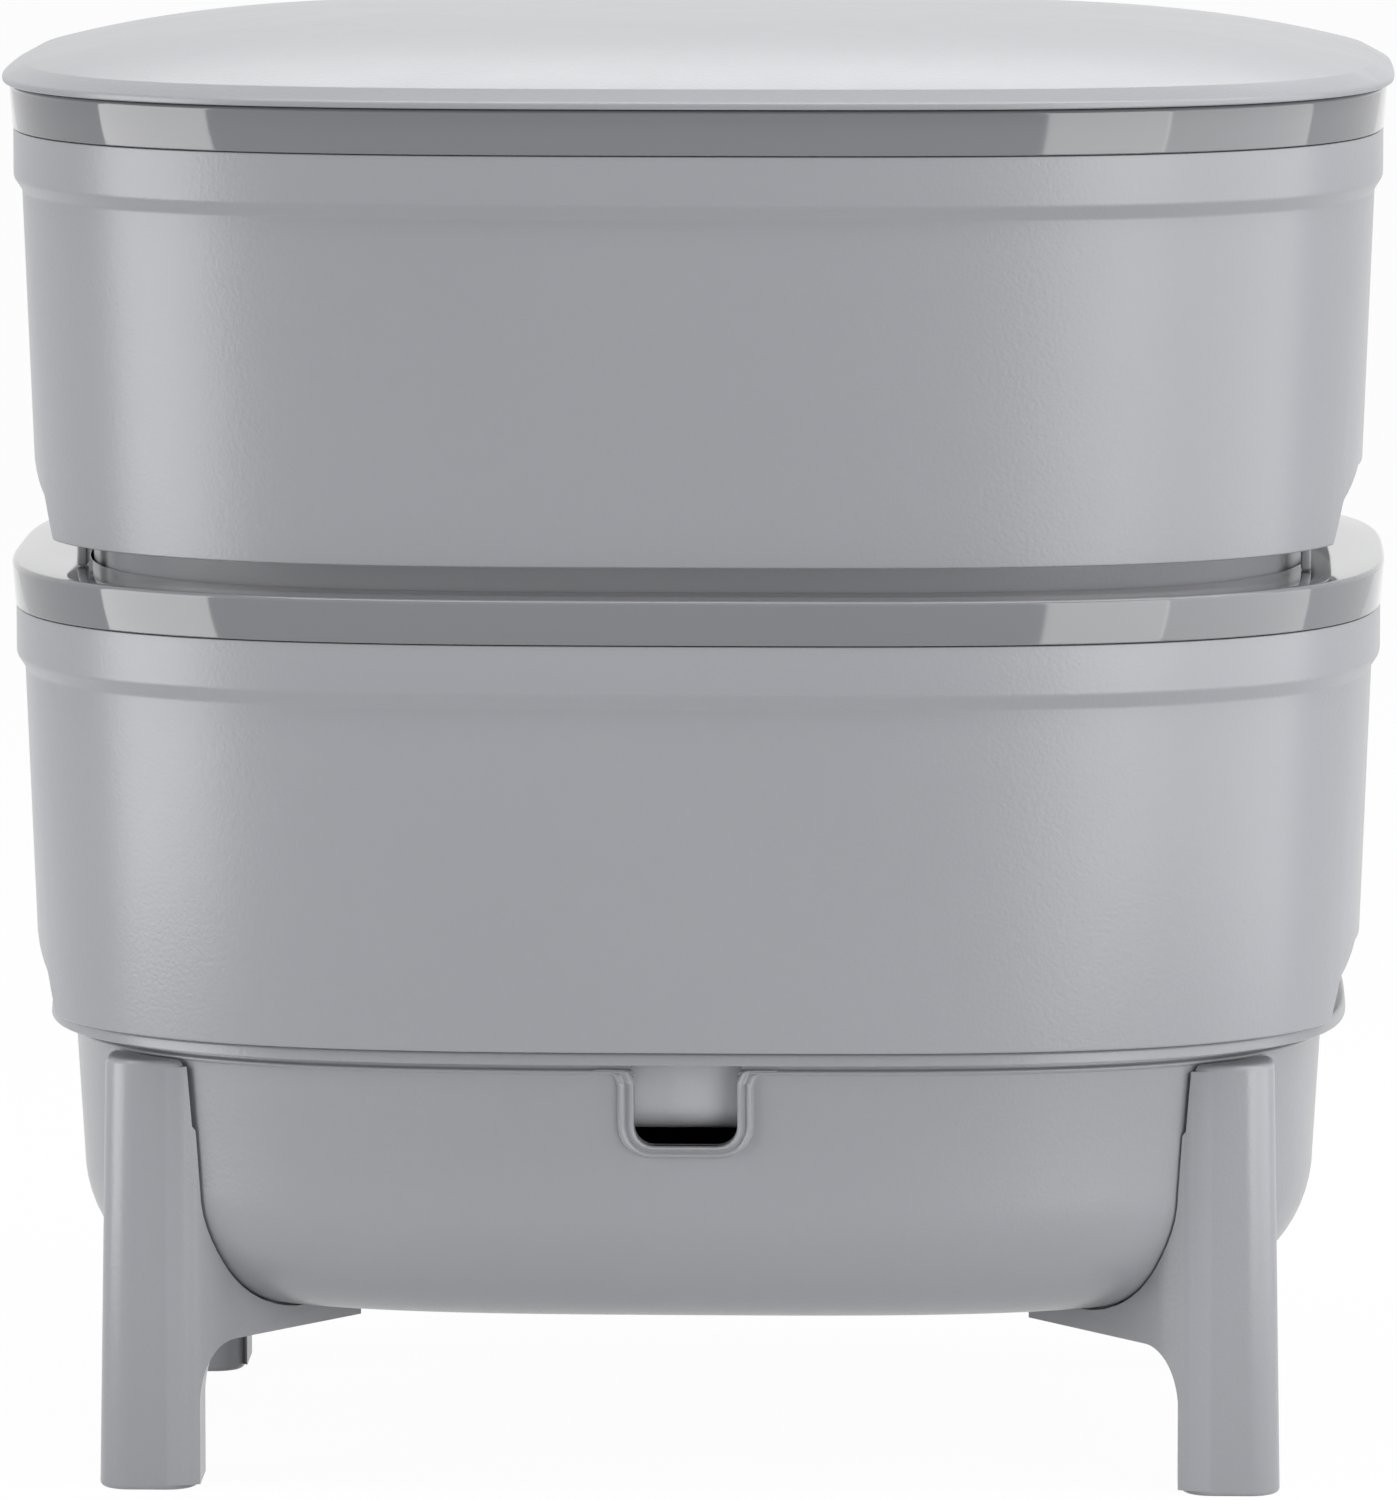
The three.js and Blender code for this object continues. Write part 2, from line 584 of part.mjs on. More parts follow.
// Space that the legs leave free for the collecting tray, wider above the jog
function traySpace() {
  const lift = TRAY_UNDERSIDE;
  const jog = LEG_JOG_HEIGHT - lift;
  const above = TRAY_HEIGHT + CUTTER_MARGIN;
  const lower = [...trayOutside(SIDE_GAP, above), [OVAL_HALF_DEPTH, above]];
  const ridgeFoot = TRAY_HEIGHT - RIDGE_DROP - RIDGE_HEIGHT;
  const wallShare = (jog - TRAY_CORNER) / (ridgeFoot - TRAY_CORNER);
  const wallInset = TRAY_BOTTOM_OUTSIDE - TRAY_DRAFT * wallShare;
  const upper = [
    [OVAL_HALF_DEPTH, jog],
    [wallInset - SIDE_GAP, jog],
    [wallInset - LEG_JOG_GAP, jog + LEG_JOG_RISE],
    [TRAY_TOP_OUTSIDE - LEG_JOG_GAP, ridgeFoot],
    [TRAY_TOP_OUTSIDE - LEG_JOG_GAP, above],
    [OVAL_HALF_DEPTH, above],
  ];
  return ovalSolid(raised(lower, lift)).add(ovalSolid(raised(upper, lift)));
}

// Front right leg
function legSolid() {
  return legPost().add(legFin()).subtract(traySpace());
}

function mirrored(solid, sideX, sideY) {
  return solid.scale([sideX, sideY, 1]);
}

function lidDome(share) {
  return LID_DOME_RISE * (1 - (1 - share) ** LID_DOME_POWER);
}

function lidSolid() {
  const outset = RING_TOP_OUTSET + LID_OVERHANG;
  const domeInset = LID_BEVEL_WIDTH - outset;
  const domeFoot = LID_SIDE + LID_BEVEL_HEIGHT;
  const width = OVAL_HALF_DEPTH - domeInset;
  const dome = (inset) => domeFoot + lidDome((inset - domeInset) / width);
  const ribOutside = RING_OPENING_INSET + LID_RIB_GAP;
  const ribInside = ribOutside + LID_RIB_WIDTH;
  const over = LID_DOME_SHARES.map((share) => domeInset + width * share);
  const under = [...over].reverse().filter((inset) => inset > ribInside + LID_RIB_WIDTH);
  const rimInside = LID_RIM - outset;
  return ovalSolid(raised([
    ...under.map((inset) => [inset, dome(inset) - LID_SKIN]),
    [ribInside, dome(ribInside) - LID_SKIN],
    [ribInside, -LID_RIB_DEPTH],
    [ribOutside, -LID_RIB_DEPTH],
    [ribOutside, dome(ribOutside) - LID_SKIN],
    [rimInside, dome(rimInside) - LID_SKIN],
    [rimInside, 0],
    [-outset + LID_SIDE_DRAFT, 0],
    [-outset, LID_SIDE_DRAFT],
    [-outset, LID_SIDE - LID_SIDE_DRAFT],
    [-outset + LID_SIDE_DRAFT, LID_SIDE],
    ...over.map((inset) => [inset, dome(inset)]),
  ], LID_BASE));
}

function meshOf(name, solid, look) {
  const { vertProperties, triVerts } = solid.getMesh();
  const geometry = new THREE.BufferGeometry();
  geometry.setAttribute('position', new THREE.BufferAttribute(Float32Array.from(vertProperties), 3));
  geometry.setIndex(new THREE.BufferAttribute(Uint32Array.from(triVerts), 1));
  geometry.computeVertexNormals();
  const mesh = new THREE.Mesh(geometry, new THREE.MeshStandardMaterial(look));
  mesh.name = name;
  return mesh;
}

const wormery = new THREE.Group();
wormery.name = 'wormery';

wormery.add(meshOf('collecting_tray', collectingTraySolid(), PLASTIC));
const frontRightLeg = legSolid();
wormery.add(meshOf('leg_front_right', mirrored(frontRightLeg, 1, 1), PLASTIC));
wormery.add(meshOf('leg_front_left', mirrored(frontRightLeg, -1, 1), PLASTIC));
wormery.add(meshOf('leg_rear_right', mirrored(frontRightLeg, 1, -1), PLASTIC));
wormery.add(meshOf('leg_rear_left', mirrored(frontRightLeg, -1, -1), PLASTIC));
wormery.add(meshOf('lower_shell', shellSolid(LOWER_SHELL_BASE), PLASTIC));
wormery.add(meshOf('lower_basket', basketSolid(LOWER_SHELL_BASE), PLASTIC));
wormery.add(meshOf('lower_rim_ring', ringSolid(LOWER_SHELL_BASE), GLOSS_PLASTIC));
wormery.add(meshOf('upper_shell', upperShellSolid(), PLASTIC));
wormery.add(meshOf('upper_basket', basketSolid(UPPER_SHELL_BASE), PLASTIC));
wormery.add(meshOf('upper_rim_ring', ringSolid(UPPER_SHELL_BASE), GLOSS_PLASTIC));
wormery.add(meshOf('lid', lidSolid(), PLASTIC));

export default wormery;
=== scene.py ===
import math

import bmesh
import bpy
from mathutils import Matrix, Vector


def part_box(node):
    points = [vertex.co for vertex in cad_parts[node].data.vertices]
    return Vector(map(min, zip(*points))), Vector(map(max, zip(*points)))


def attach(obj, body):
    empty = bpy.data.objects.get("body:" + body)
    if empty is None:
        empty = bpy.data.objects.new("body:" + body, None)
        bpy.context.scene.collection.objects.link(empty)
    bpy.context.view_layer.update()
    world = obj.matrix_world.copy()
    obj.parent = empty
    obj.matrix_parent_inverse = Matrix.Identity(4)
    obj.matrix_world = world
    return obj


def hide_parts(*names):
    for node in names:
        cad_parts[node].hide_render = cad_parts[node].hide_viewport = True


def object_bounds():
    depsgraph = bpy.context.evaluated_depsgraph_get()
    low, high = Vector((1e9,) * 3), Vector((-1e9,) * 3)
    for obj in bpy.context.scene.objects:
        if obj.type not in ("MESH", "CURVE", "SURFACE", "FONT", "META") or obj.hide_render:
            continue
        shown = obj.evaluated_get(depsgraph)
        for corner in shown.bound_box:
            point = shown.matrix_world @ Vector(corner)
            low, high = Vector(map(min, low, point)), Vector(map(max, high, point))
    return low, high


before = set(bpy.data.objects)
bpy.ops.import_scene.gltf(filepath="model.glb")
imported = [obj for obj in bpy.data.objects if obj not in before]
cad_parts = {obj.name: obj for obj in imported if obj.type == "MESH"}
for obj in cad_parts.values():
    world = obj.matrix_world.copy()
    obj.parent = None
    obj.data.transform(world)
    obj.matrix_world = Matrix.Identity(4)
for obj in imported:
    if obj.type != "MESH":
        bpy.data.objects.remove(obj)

cad_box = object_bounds()

# Reference oval, and the heights that the frame gives (metres, +Z up, the front faces -Y)
RING_TOP_OUTSET = 0.0008
OVAL_HALF_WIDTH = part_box("upper_rim_ring")[1][0] - RING_TOP_OUTSET
OVAL_HALF_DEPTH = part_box("upper_rim_ring")[1][1] - RING_TOP_OUTSET
OVAL_POWER = 3.2
OVAL_SEGMENTS = 240
TRAY_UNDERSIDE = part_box("collecting_tray")[0][2]
TRAY_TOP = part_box("collecting_tray")[1][2]
LOWER_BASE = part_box("lower_shell")[0][2]
UPPER_BASE = LOWER_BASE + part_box("upper_rim_ring")[0][2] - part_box("lower_rim_ring")[0][2]
LID_RIB_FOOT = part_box("lid")[0][2]
LEG_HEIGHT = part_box("leg_front_right")[1][2]
FLOOR_LEVEL = cad_box[0][2]

# Rim ring
RING_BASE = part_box("lower_rim_ring")[0][2] - LOWER_BASE
RING_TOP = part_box("lower_rim_ring")[1][2] - LOWER_BASE
RING_BOTTOM_INSET = 0.0001
RING_INSIDE = 0.0024
RING_PLATE = 0.0023
RING_OPENING_INSET = 0.0207
RING_EDGE = 0.0012
RING_SMALL_EDGE = 0.0003

# Shell of a worm tray
SHELL_BODY_HEIGHT = 0.1103
SHELL_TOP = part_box("lower_shell")[1][2] - LOWER_BASE
SHELL_BAND_INSET = 0.0004
SHELL_BAND_HEIGHT = 0.0134
SHELL_STEP_HEIGHT = 0.0036
SHELL_STEP_INSET = 0.0027
SHELL_STEP_ROUND = 0.0026
SHELL_BOTTOM_INSET = 0.0063
SHELL_WALL = 0.0022
SHELL_EDGE = 0.0006
REBATE_OUTSIDE = 0.0028
REBATE_INSIDE = 0.0048
SHELL_SHOULDER = 0.0062
LEDGE_INSIDE = 0.0185
LEDGE_THICKNESS = 0.0022

# Grip notch at both ends of each shell
NOTCH_HALF_BOTTOM = 0.072
NOTCH_HALF_SHOULDER = 0.065
NOTCH_HALF_TOP = 0.045
NOTCH_SHOULDER = 0.0115
NOTCH_HEIGHT = 0.019
NOTCH_INSIDE = 0.0135
NOTCH_ROUND = 0.004

# Posts under the upper shell
POST_LENGTH = UPPER_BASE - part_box("upper_shell")[0][2]
POST_THICKNESS = 0.0027
POST_WIDTH = 0.008
POST_HALF_SPACING = 0.061
POST_INSET = 0.016
POST_ROOT = 0.001
POST_EDGE = 0.0005

# Slotted basket
LIP_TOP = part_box("lower_basket")[1][2] - LOWER_BASE
LIP_THICKNESS = 0.0022
LIP_UNDERSIDE = LIP_TOP - LIP_THICKNESS
BASKET_DROP = LOWER_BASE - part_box("lower_basket")[0][2]
BASKET_TOP_OUTSIDE = 0.0179
BASKET_BOTTOM_OUTSIDE = 0.0219
BASKET_WALL = 0.002
BASKET_CORNER = 0.008
BASKET_FLOOR = 0.0025
BASKET_EDGE = 0.0008
SLOT_LENGTH = 0.022
SLOT_WIDTH = 0.003
SLOT_PITCH = 0.034
SLOT_COLUMNS = 8
SLOT_ROWS = 5

# Collecting tray
TRAY_TOP_OUTSIDE = 0.016
TRAY_BOTTOM_OUTSIDE = 0.0181
TRAY_WALL = 0.0022
TRAY_FLOOR = 0.0025
TRAY_CORNER = 0.036
FLANGE_OUTSIDE = 0.0092
FLANGE_THICKNESS = 0.0035
FLANGE_EDGE = 0.0004
FLANGE_TOP_EDGE = 0.001
FLANGE_LEAN = 0.0003
FLANGE_FILLET = 0.0008
RIDGE_DROP = 0.0054
RIDGE_HEIGHT = 0.0015
RIDGE_PROUD = 0.001
RIDGE_EDGE = 0.0006

# U window
WINDOW_TOP_DROP = 0.0004
WINDOW_TOP = TRAY_TOP - FLANGE_THICKNESS - WINDOW_TOP_DROP
WINDOW_HEIGHT = 0.0225
WINDOW_HALF_WIDTH = 0.0139
WINDOW_CORNER = 0.0054
WINDOW_FLARE = 0.0016
WINDOW_FLARE_HEIGHT = 0.003
FRAME_BORDER = 0.0047
FRAME_SILL = 0.0034
FRAME_PROUD = 0.0024
FRAME_FILLET = 0.003
FRAME_CORNER = 0.009
FRAME_FLARE_ROUND = 0.0012
# Bead section from the window to the wall: share of the width, and share of how proud it stands
FRAME_SECTION_SHARES = [(0, -1.5), (0, 0.84), (0.03, 0.95), (0.1, 1), (0.18, 0.95), (0.28, 0.66), (0.36, 0.5),
                        (0.46, 0.48), (0.56, 0.66), (0.68, 0.76), (0.8, 0.66), (0.9, 0.3), (1, -0.3)]

# Legs
LEG_FOOT_WIDTH = 0.0268
LEG_TOP_WIDTH = 0.0247
LEG_INNER_SIDE = 0.1335
LEG_FRONT = -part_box("leg_front_right")[0][1]
LEG_CORNER = 0.0085
LEG_FOOT_EDGE = 0.0014
LEG_TOP_EDGE = 0.0018
LEG_JOG_HEIGHT = 0.0986
LEG_JOG_GAP = 0.0015
LEG_JOG_RISE = 0.0012
LEG_GAP = 0.00075
FIN_THICKNESS = 0.014
FIN_BEND = 0.02
FIN_TURN_DEGREES = 52
FIN_REACH = 0.0345
FIN_DEPTH = 0.0056
FIN_OVERLAP = 0.0009
FIN_FILLET_WIDTH = 0.009
FIN_FILLET_HEIGHT = 0.017
FIN_STEPS = 24

# Lid
SEAT_GAP = 0.0003
LID_BASE = UPPER_BASE + RING_TOP + SEAT_GAP
LID_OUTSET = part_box("lid")[1][0] - OVAL_HALF_WIDTH
LID_SIDE = 0.0017
LID_BEVEL_WIDTH = 0.006
LID_BEVEL_HEIGHT = 0.0033
LID_DOME_RISE = 0.0125
LID_DOME_POWER = 3
LID_DOME_STEPS = 36
LID_DOME_SPACING = 1.3
LID_SKIN = 0.0022
LID_RIM = 0.0065
LID_BEVEL_ROUND = LID_BEVEL_WIDTH / 3
LID_RIB_OUTSIDE = 0.0219
LID_RIB_INSIDE = 0.0239
LID_EDGE = 0.0005

# How fine the rounding is, and what the cutters run past a piece
ROUND_STEPS = 5
LEG_CORNER_STEPS = 3 * ROUND_STEPS
TRAY_STEPS = 16
REACH_SHARE = 0.49
ROUND_PROFILE = 0.5
ROUND_SEGMENTS = 3
SHARP_DEGREES = 30
SMOOTH_DEGREES = 38
MERGE_DISTANCE = 1e-7
CUTTER_MARGIN = 0.004

# Plastics: colours, finish and the pattern of the mould's grain
BODY_COLOUR = (0.229, 0.232, 0.247)
BODY_ROUGHNESS = 0.3
BODY_SPECULAR = 0.42
# Baskets are painted lighter than the body: painted light that brightens them in the shaded gap between the
# trays
BASKET_LIGHTENED_COLOUR = (0.36, 0.364, 0.383)
BASKET_ROUGHNESS = 0.34
BASKET_SPECULAR = 0.4
GLOSS_COLOUR = (0.145, 0.147, 0.156)
GLOSS_ROUGHNESS = 0.05
GLOSS_SPECULAR = 0.08
GLOSS_COAT = 0.75
COAT_ROUGHNESS = 0.06
GRAIN_SCALE = 900
GRAIN_DEPTH = 0.0002
POLISH_SCALE = 60
POLISH_DEPTH = 0.00002
GRAIN_DETAIL = 2
GRAIN_STRENGTH = 0.35
CLOUD_SCALE = 9
CLOUD_DETAIL = 3
CLOUD_SHARE = 0.03
RUB_SCALE = 60
RUB_DETAIL = 4
RUB_SHARE = 0.1
# Painted highlight: convex edges get a lighter colour, from where their pointiness starts to where it is full
EDGE_START = 0.52
EDGE_FULL = 0.62
EDGE_LIFT = 1.12

# Camera at the photograph's place
CAMERA_DISTANCE = 3.5
CAMERA_TURN = 0.033
CAMERA_HEIGHT = 0.6353
CAMERA_PITCH = 0.1266
FOCAL_PIXELS = 12719.5
CENTRE_COLUMN = 701
IMAGE_WIDTH = 1397
IMAGE_HEIGHT = 1500
SENSOR = 36
CAMERA_REACH = 100

# Studio: a white paper table, a pale floor below it and soft lights round it
WHITE = (1, 1, 1, 1)
COOL_WHITE = (0.96, 0.98, 1, 1)
WORLD_LIGHT = 0.15
FLOOR_ROUGHNESS = 0.9
PAPER_ALBEDO = 0.78
PAPER_GLOW_SHARE = 0.97
PAPER_FRONT = 0.45
PAPER_BACK = 9
PAPER_FRONT_HALF = 0.5
PAPER_BACK_HALF = 2.6
STUDIO_DROP = 0.8
STUDIO_SIZE = 60
STUDIO_SEGMENTS = 4
STUDIO_ALBEDO = 0.15
STUDIO_GLOW_SHARE = 0.8
LAMP_AIM = 0.3
# Name, azimuth and elevation in degrees, distance, width, height, watts
SOFT_LIGHTS = [
    ("left_softbox", -66, 0, 1.5, 1, 1.4, 24.5),
    ("right_key_softbox", 34, 0, 1.5, 0.61, 1.4, 13),
    ("right_side_softbox", 72, 0, 1.5, 1.53, 1.4, 17.5),
    ("right_high_softbox", 75, 48, 1.6, 1, 0.8, 10),
    ("overhead_softbox", 0, 80, 1.7, 1.6, 1.2, 30),
    ("back_top_softbox", 180, 38, 1.8, 1.1, 0.5, 4),
]


def unit_oval():
    """Points of the unit oval; mirror images are exactly equal."""
    quadrant = OVAL_SEGMENTS // 4
    rise = [math.sin(step / quadrant * math.pi / 2) ** (2 / OVAL_POWER) for step in range(quadrant + 1)]
    rise[quadrant] = 1
    points = []
    for turn in range(4):
        for step in range(quadrant):
            along, across = rise[quadrant - step], rise[step]
            points.append([(along, across), (-across, along), (-along, -across), (across, -along)][turn])
    return points


UNIT_OVAL = unit_oval()


def oval_reach(inset, distance):
    """Half-width of the oval with this inset, at a distance from its long axis."""
    share = abs(distance) / (OVAL_HALF_DEPTH - inset)
    return (OVAL_HALF_WIDTH - inset) * (1 - share ** OVAL_POWER) ** (1 / OVAL_POWER)


def rounded(corners, closed, steps=ROUND_STEPS):
    """Polyline through corners (across, height, radius), each rounded by an arc of its radius."""
    points = []
    for i, (across, height, radius) in enumerate(corners):
        corner = Vector((across, height))
        if radius == 0 or (not closed and i in (0, len(corners) - 1)):
            points.append(corner)
            continue
        before = Vector(corners[i - 1][:2]) - corner
        after = Vector(corners[(i + 1) % len(corners)][:2]) - corner
        half = before.angle(after) / 2
        reach = min(radius / math.tan(half), before.length * REACH_SHARE, after.length * REACH_SHARE)
        start = before.normalized() * reach
        end = after.normalized() * reach
        middle = (start + end).normalized() * reach / math.cos(half)
        sweep_angle = math.pi - 2 * half
        for step in range(steps + 1):
            angle = step / steps * sweep_angle
            along = math.sin(sweep_angle - angle) / math.sin(sweep_angle)
            across_end = math.sin(angle) / math.sin(sweep_angle)
            points.append(corner + middle + (start - middle) * along + (end - middle) * across_end)
    return points


def sweep(profile, base, closed):
    """Mesh of a profile of (inset, height) taken round the oval. Its outer side runs upward."""
    mesh = bmesh.new()
    rows = []
    for inset, height in profile:
        depth = max(0, OVAL_HALF_DEPTH - inset)
        width = OVAL_HALF_WIDTH - inset
        rows.append([mesh.verts.new((width * x, depth * y, base + height)) for x, y in UNIT_OVAL])
    pairs = list(zip(rows, rows[1:] + rows[:1])) if closed else list(zip(rows, rows[1:]))
    for low, high in pairs:
        for i in range(OVAL_SEGMENTS):
            j = (i + 1) % OVAL_SEGMENTS
            mesh.faces.new((low[i], low[j], high[j], high[i]))
    bmesh.ops.remove_doubles(mesh, verts=mesh.verts, dist=MERGE_DISTANCE)
    return mesh


def prism(outline, depth, origin, u_axis, v_axis):
    """Mesh of an outline of (u, v) points pushed along u_axis x v_axis."""
    mesh = bmesh.new()
    push = u_axis.cross(v_axis) * depth
    near = [mesh.verts.new(origin + u_axis * u + v_axis * v) for u, v in outline]
    far = [mesh.verts.new(vert.co + push) for vert in near]
    mesh.faces.new(list(reversed(near)))
    mesh.faces.new(far)
    for i, vert in enumerate(near):
        j = (i + 1) % len(near)
        mesh.faces.new((vert, near[j], far[j], far[i]))
    return mesh


def box_mesh(size, centre):
    mesh = bmesh.new()
    bmesh.ops.create_cube(mesh, size=1, matrix=Matrix.Translation(centre) @ Matrix.Diagonal((*size, 1)))
    return mesh


def soften(mesh, width):
    """Rounds every sharp edge of a small mesh."""
    sharp = [edge for edge in mesh.edges if edge.calc_face_angle(0) > math.radians(SHARP_DEGREES)]
    bmesh.ops.bevel(mesh, geom=sharp, offset=width, segments=ROUND_SEGMENTS, profile=ROUND_PROFILE,
                    affect="EDGES", clamp_overlap=True)
    return mesh


def to_object(name, mesh):
    """New object from a bmesh, shaded smooth with its sharp edges kept. The bmesh is freed."""
    data = bpy.data.meshes.new(name)
    mesh.to_mesh(data)
    mesh.free()
    shade(data)
    piece = bpy.data.objects.new(name, data)
    bpy.context.scene.collection.objects.link(piece)
    return piece


def shade(data):
    data.polygons.foreach_set("use_smooth", [True] * len(data.polygons))
    data.set_sharp_from_angle(angle=math.radians(SMOOTH_DEGREES))


def combine(piece, tool_mesh, operation):
    """Cuts tool_mesh from piece, or adds it to it."""
    tool = to_object("tool", tool_mesh)
    modifier = piece.modifiers.new(operation, "BOOLEAN")
    modifier.operation = operation
    modifier.solver = "EXACT"
    modifier.object = tool
    evaluated = piece.evaluated_get(bpy.context.evaluated_depsgraph_get())
    result = bpy.data.meshes.new_from_object(evaluated)
    piece.modifiers.clear()
    old = piece.data
    piece.data = result
    bpy.data.meshes.remove(old)
    bpy.data.meshes.remove(tool.data)
    shade(piece.data)


def join_mesh(piece, mesh):
    """Adds the faces of a bmesh to a piece as they are."""
    extra = bpy.data.meshes.new("extra")
    mesh.to_mesh(extra)
    mesh.free()
    whole = bmesh.new()
    whole.from_mesh(piece.data)
    whole.from_mesh(extra)
    whole.to_mesh(piece.data)
    whole.free()
    bpy.data.meshes.remove(extra)
    shade(piece.data)


def mirrored(mesh, side_x, side_y):
    bmesh.ops.transform(mesh, matrix=Matrix.Diagonal((side_x, side_y, 1, 1)), verts=mesh.verts)
    if side_x * side_y < 0:
        bmesh.ops.reverse_faces(mesh, faces=mesh.faces)
    return mesh


def stand_for(piece, node, body, material):
    """Puts a finished piece in a CAD node's place."""
    piece.data.materials.clear()
    piece.data.materials.append(material)
    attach(piece, body)
    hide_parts(node)


X_AXIS = Vector((1, 0, 0))
Y_AXIS = Vector((0, 1, 0))
Z_AXIS = Vector((0, 0, 1))
SIDES = (-1, 1)


def make_ring(name, base):
    corners = [
        (RING_BOTTOM_INSET, RING_BASE, RING_SMALL_EDGE),
        (-RING_TOP_OUTSET, RING_TOP, RING_EDGE),
        (RING_OPENING_INSET, RING_TOP, RING_EDGE / 2),
        (RING_OPENING_INSET, RING_TOP - RING_PLATE, RING_SMALL_EDGE),
        (RING_INSIDE, RING_TOP - RING_PLATE, RING_SMALL_EDGE),
        (RING_INSIDE, RING_BASE, RING_SMALL_EDGE),
    ]
    return to_object(name, sweep(rounded(corners, True), base, True))


def shell_profile():
    band_foot = SHELL_BODY_HEIGHT - SHELL_BAND_HEIGHT
    step_foot = band_foot - SHELL_STEP_HEIGHT
    return rounded([
        (SHELL_BOTTOM_INSET, 0, SHELL_EDGE),
        (SHELL_STEP_INSET, step_foot, SHELL_STEP_ROUND),
        (SHELL_BAND_INSET, band_foot, SHELL_STEP_ROUND),
        (SHELL_BAND_INSET, SHELL_BODY_HEIGHT, RING_SMALL_EDGE),
        (REBATE_OUTSIDE, SHELL_BODY_HEIGHT, 0),
        (REBATE_OUTSIDE, SHELL_TOP, RING_SMALL_EDGE),
        (REBATE_INSIDE, SHELL_TOP, RING_SMALL_EDGE),
        (REBATE_INSIDE, band_foot + SHELL_SHOULDER, 0),
        (SHELL_BAND_INSET + SHELL_WALL, band_foot + SHELL_SHOULDER - SHELL_WALL, 0),
        (SHELL_BAND_INSET + SHELL_WALL, band_foot, SHELL_EDGE),
        (SHELL_STEP_INSET + SHELL_WALL, step_foot, SHELL_EDGE),
        (SHELL_BOTTOM_INSET + SHELL_WALL, LEDGE_THICKNESS, SHELL_EDGE),
        (LEDGE_INSIDE, LEDGE_THICKNESS, SHELL_EDGE),
        (LEDGE_INSIDE, 0, SHELL_EDGE),
    ], True)


def notch_cutter(base):
    """Bar with the notch's outline along X, hollowed where the ledge's inner band stays."""
    corners = [
        (-NOTCH_HALF_BOTTOM, -CUTTER_MARGIN, 0),
        (NOTCH_HALF_BOTTOM, -CUTTER_MARGIN, 0),
        (NOTCH_HALF_BOTTOM, 0, 0),
        (NOTCH_HALF_SHOULDER, NOTCH_SHOULDER, NOTCH_ROUND),
        (NOTCH_HALF_TOP, NOTCH_HEIGHT, NOTCH_ROUND),
        (-NOTCH_HALF_TOP, NOTCH_HEIGHT, NOTCH_ROUND),
        (-NOTCH_HALF_SHOULDER, NOTCH_SHOULDER, NOTCH_ROUND),
        (-NOTCH_HALF_BOTTOM, 0, 0),
    ]
    reach = OVAL_HALF_WIDTH + CUTTER_MARGIN
    bar = prism(rounded(corners, True), 2 * reach, Vector((-reach, 0, base)), Y_AXIS, Z_AXIS)
    cutter = to_object("notch_cutter", bar)
    core = sweep([
        (OVAL_HALF_DEPTH, -2 * CUTTER_MARGIN),
        (NOTCH_INSIDE, -2 * CUTTER_MARGIN),
        (NOTCH_INSIDE, NOTCH_HEIGHT + CUTTER_MARGIN),
        (OVAL_HALF_DEPTH, NOTCH_HEIGHT + CUTTER_MARGIN),
    ], base, False)
    combine(cutter, core, "DIFFERENCE")
    mesh = bmesh.new()
    mesh.from_mesh(cutter.data)
    bpy.data.meshes.remove(cutter.data)
    return mesh


def make_shell(name, base):
    shell = to_object(name, sweep(shell_profile(), base, True))
    combine(shell, notch_cutter(base), "DIFFERENCE")
    return shell


def add_posts(shell):
    height = POST_LENGTH + POST_ROOT
    middle = UPPER_BASE - POST_LENGTH + height / 2
    reach = oval_reach(POST_INSET, POST_HALF_SPACING)
    for side in SIDES:
        for end in SIDES:
            centre = Vector((side * reach, end * POST_HALF_SPACING, middle))
            join_mesh(shell, soften(box_mesh((POST_THICKNESS, POST_WIDTH, height), centre), POST_EDGE))


def make_basket(name, base):
    bottom = -BASKET_DROP
    inner = BASKET_BOTTOM_OUTSIDE + BASKET_WALL
    profile = rounded([
        (OVAL_HALF_DEPTH, bottom, 0),
        (BASKET_BOTTOM_OUTSIDE, bottom, BASKET_CORNER),
        (BASKET_TOP_OUTSIDE, LIP_UNDERSIDE, BASKET_EDGE),
        (REBATE_OUTSIDE, LIP_UNDERSIDE, RING_SMALL_EDGE),
        (REBATE_OUTSIDE, LIP_TOP, RING_SMALL_EDGE),
        (BASKET_TOP_OUTSIDE + BASKET_WALL, LIP_TOP, BASKET_EDGE),
        (inner, bottom + BASKET_FLOOR, BASKET_CORNER - BASKET_WALL),
        (OVAL_HALF_DEPTH, bottom + BASKET_FLOOR, 0),
    ], False)
    basket = to_object(name, sweep(profile, base, False))
    combine(basket, slot_cutter(base), "DIFFERENCE")
    return basket


def slot_cutter(base):
    mesh = bmesh.new()
    middle = base - BASKET_DROP + BASKET_FLOOR / 2
    size = (SLOT_LENGTH, SLOT_WIDTH, BASKET_FLOOR + 2 * CUTTER_MARGIN)
    for column in range(SLOT_COLUMNS):
        for row in range(SLOT_ROWS):
            x = (column - (SLOT_COLUMNS - 1) / 2) * SLOT_PITCH
            y = (row - (SLOT_ROWS - 1) / 2) * SLOT_PITCH
            matrix = Matrix.Translation((x, y, middle)) @ Matrix.Diagonal((*size, 1))
            bmesh.ops.create_cube(mesh, size=1, matrix=matrix)
    return mesh


def tray_foot(growth, inset, radius):
    """Bottom of the tray from its middle out, with its big rounded corner, above TRAY_UNDERSIDE."""
    points = [(OVAL_HALF_DEPTH, -growth, 0)]
    for step in range(TRAY_STEPS + 1):
        angle = step / TRAY_STEPS * math.pi / 2
        points.append((inset - radius * math.sin(angle), radius * (1 - math.cos(angle)) - growth, 0))
    return points


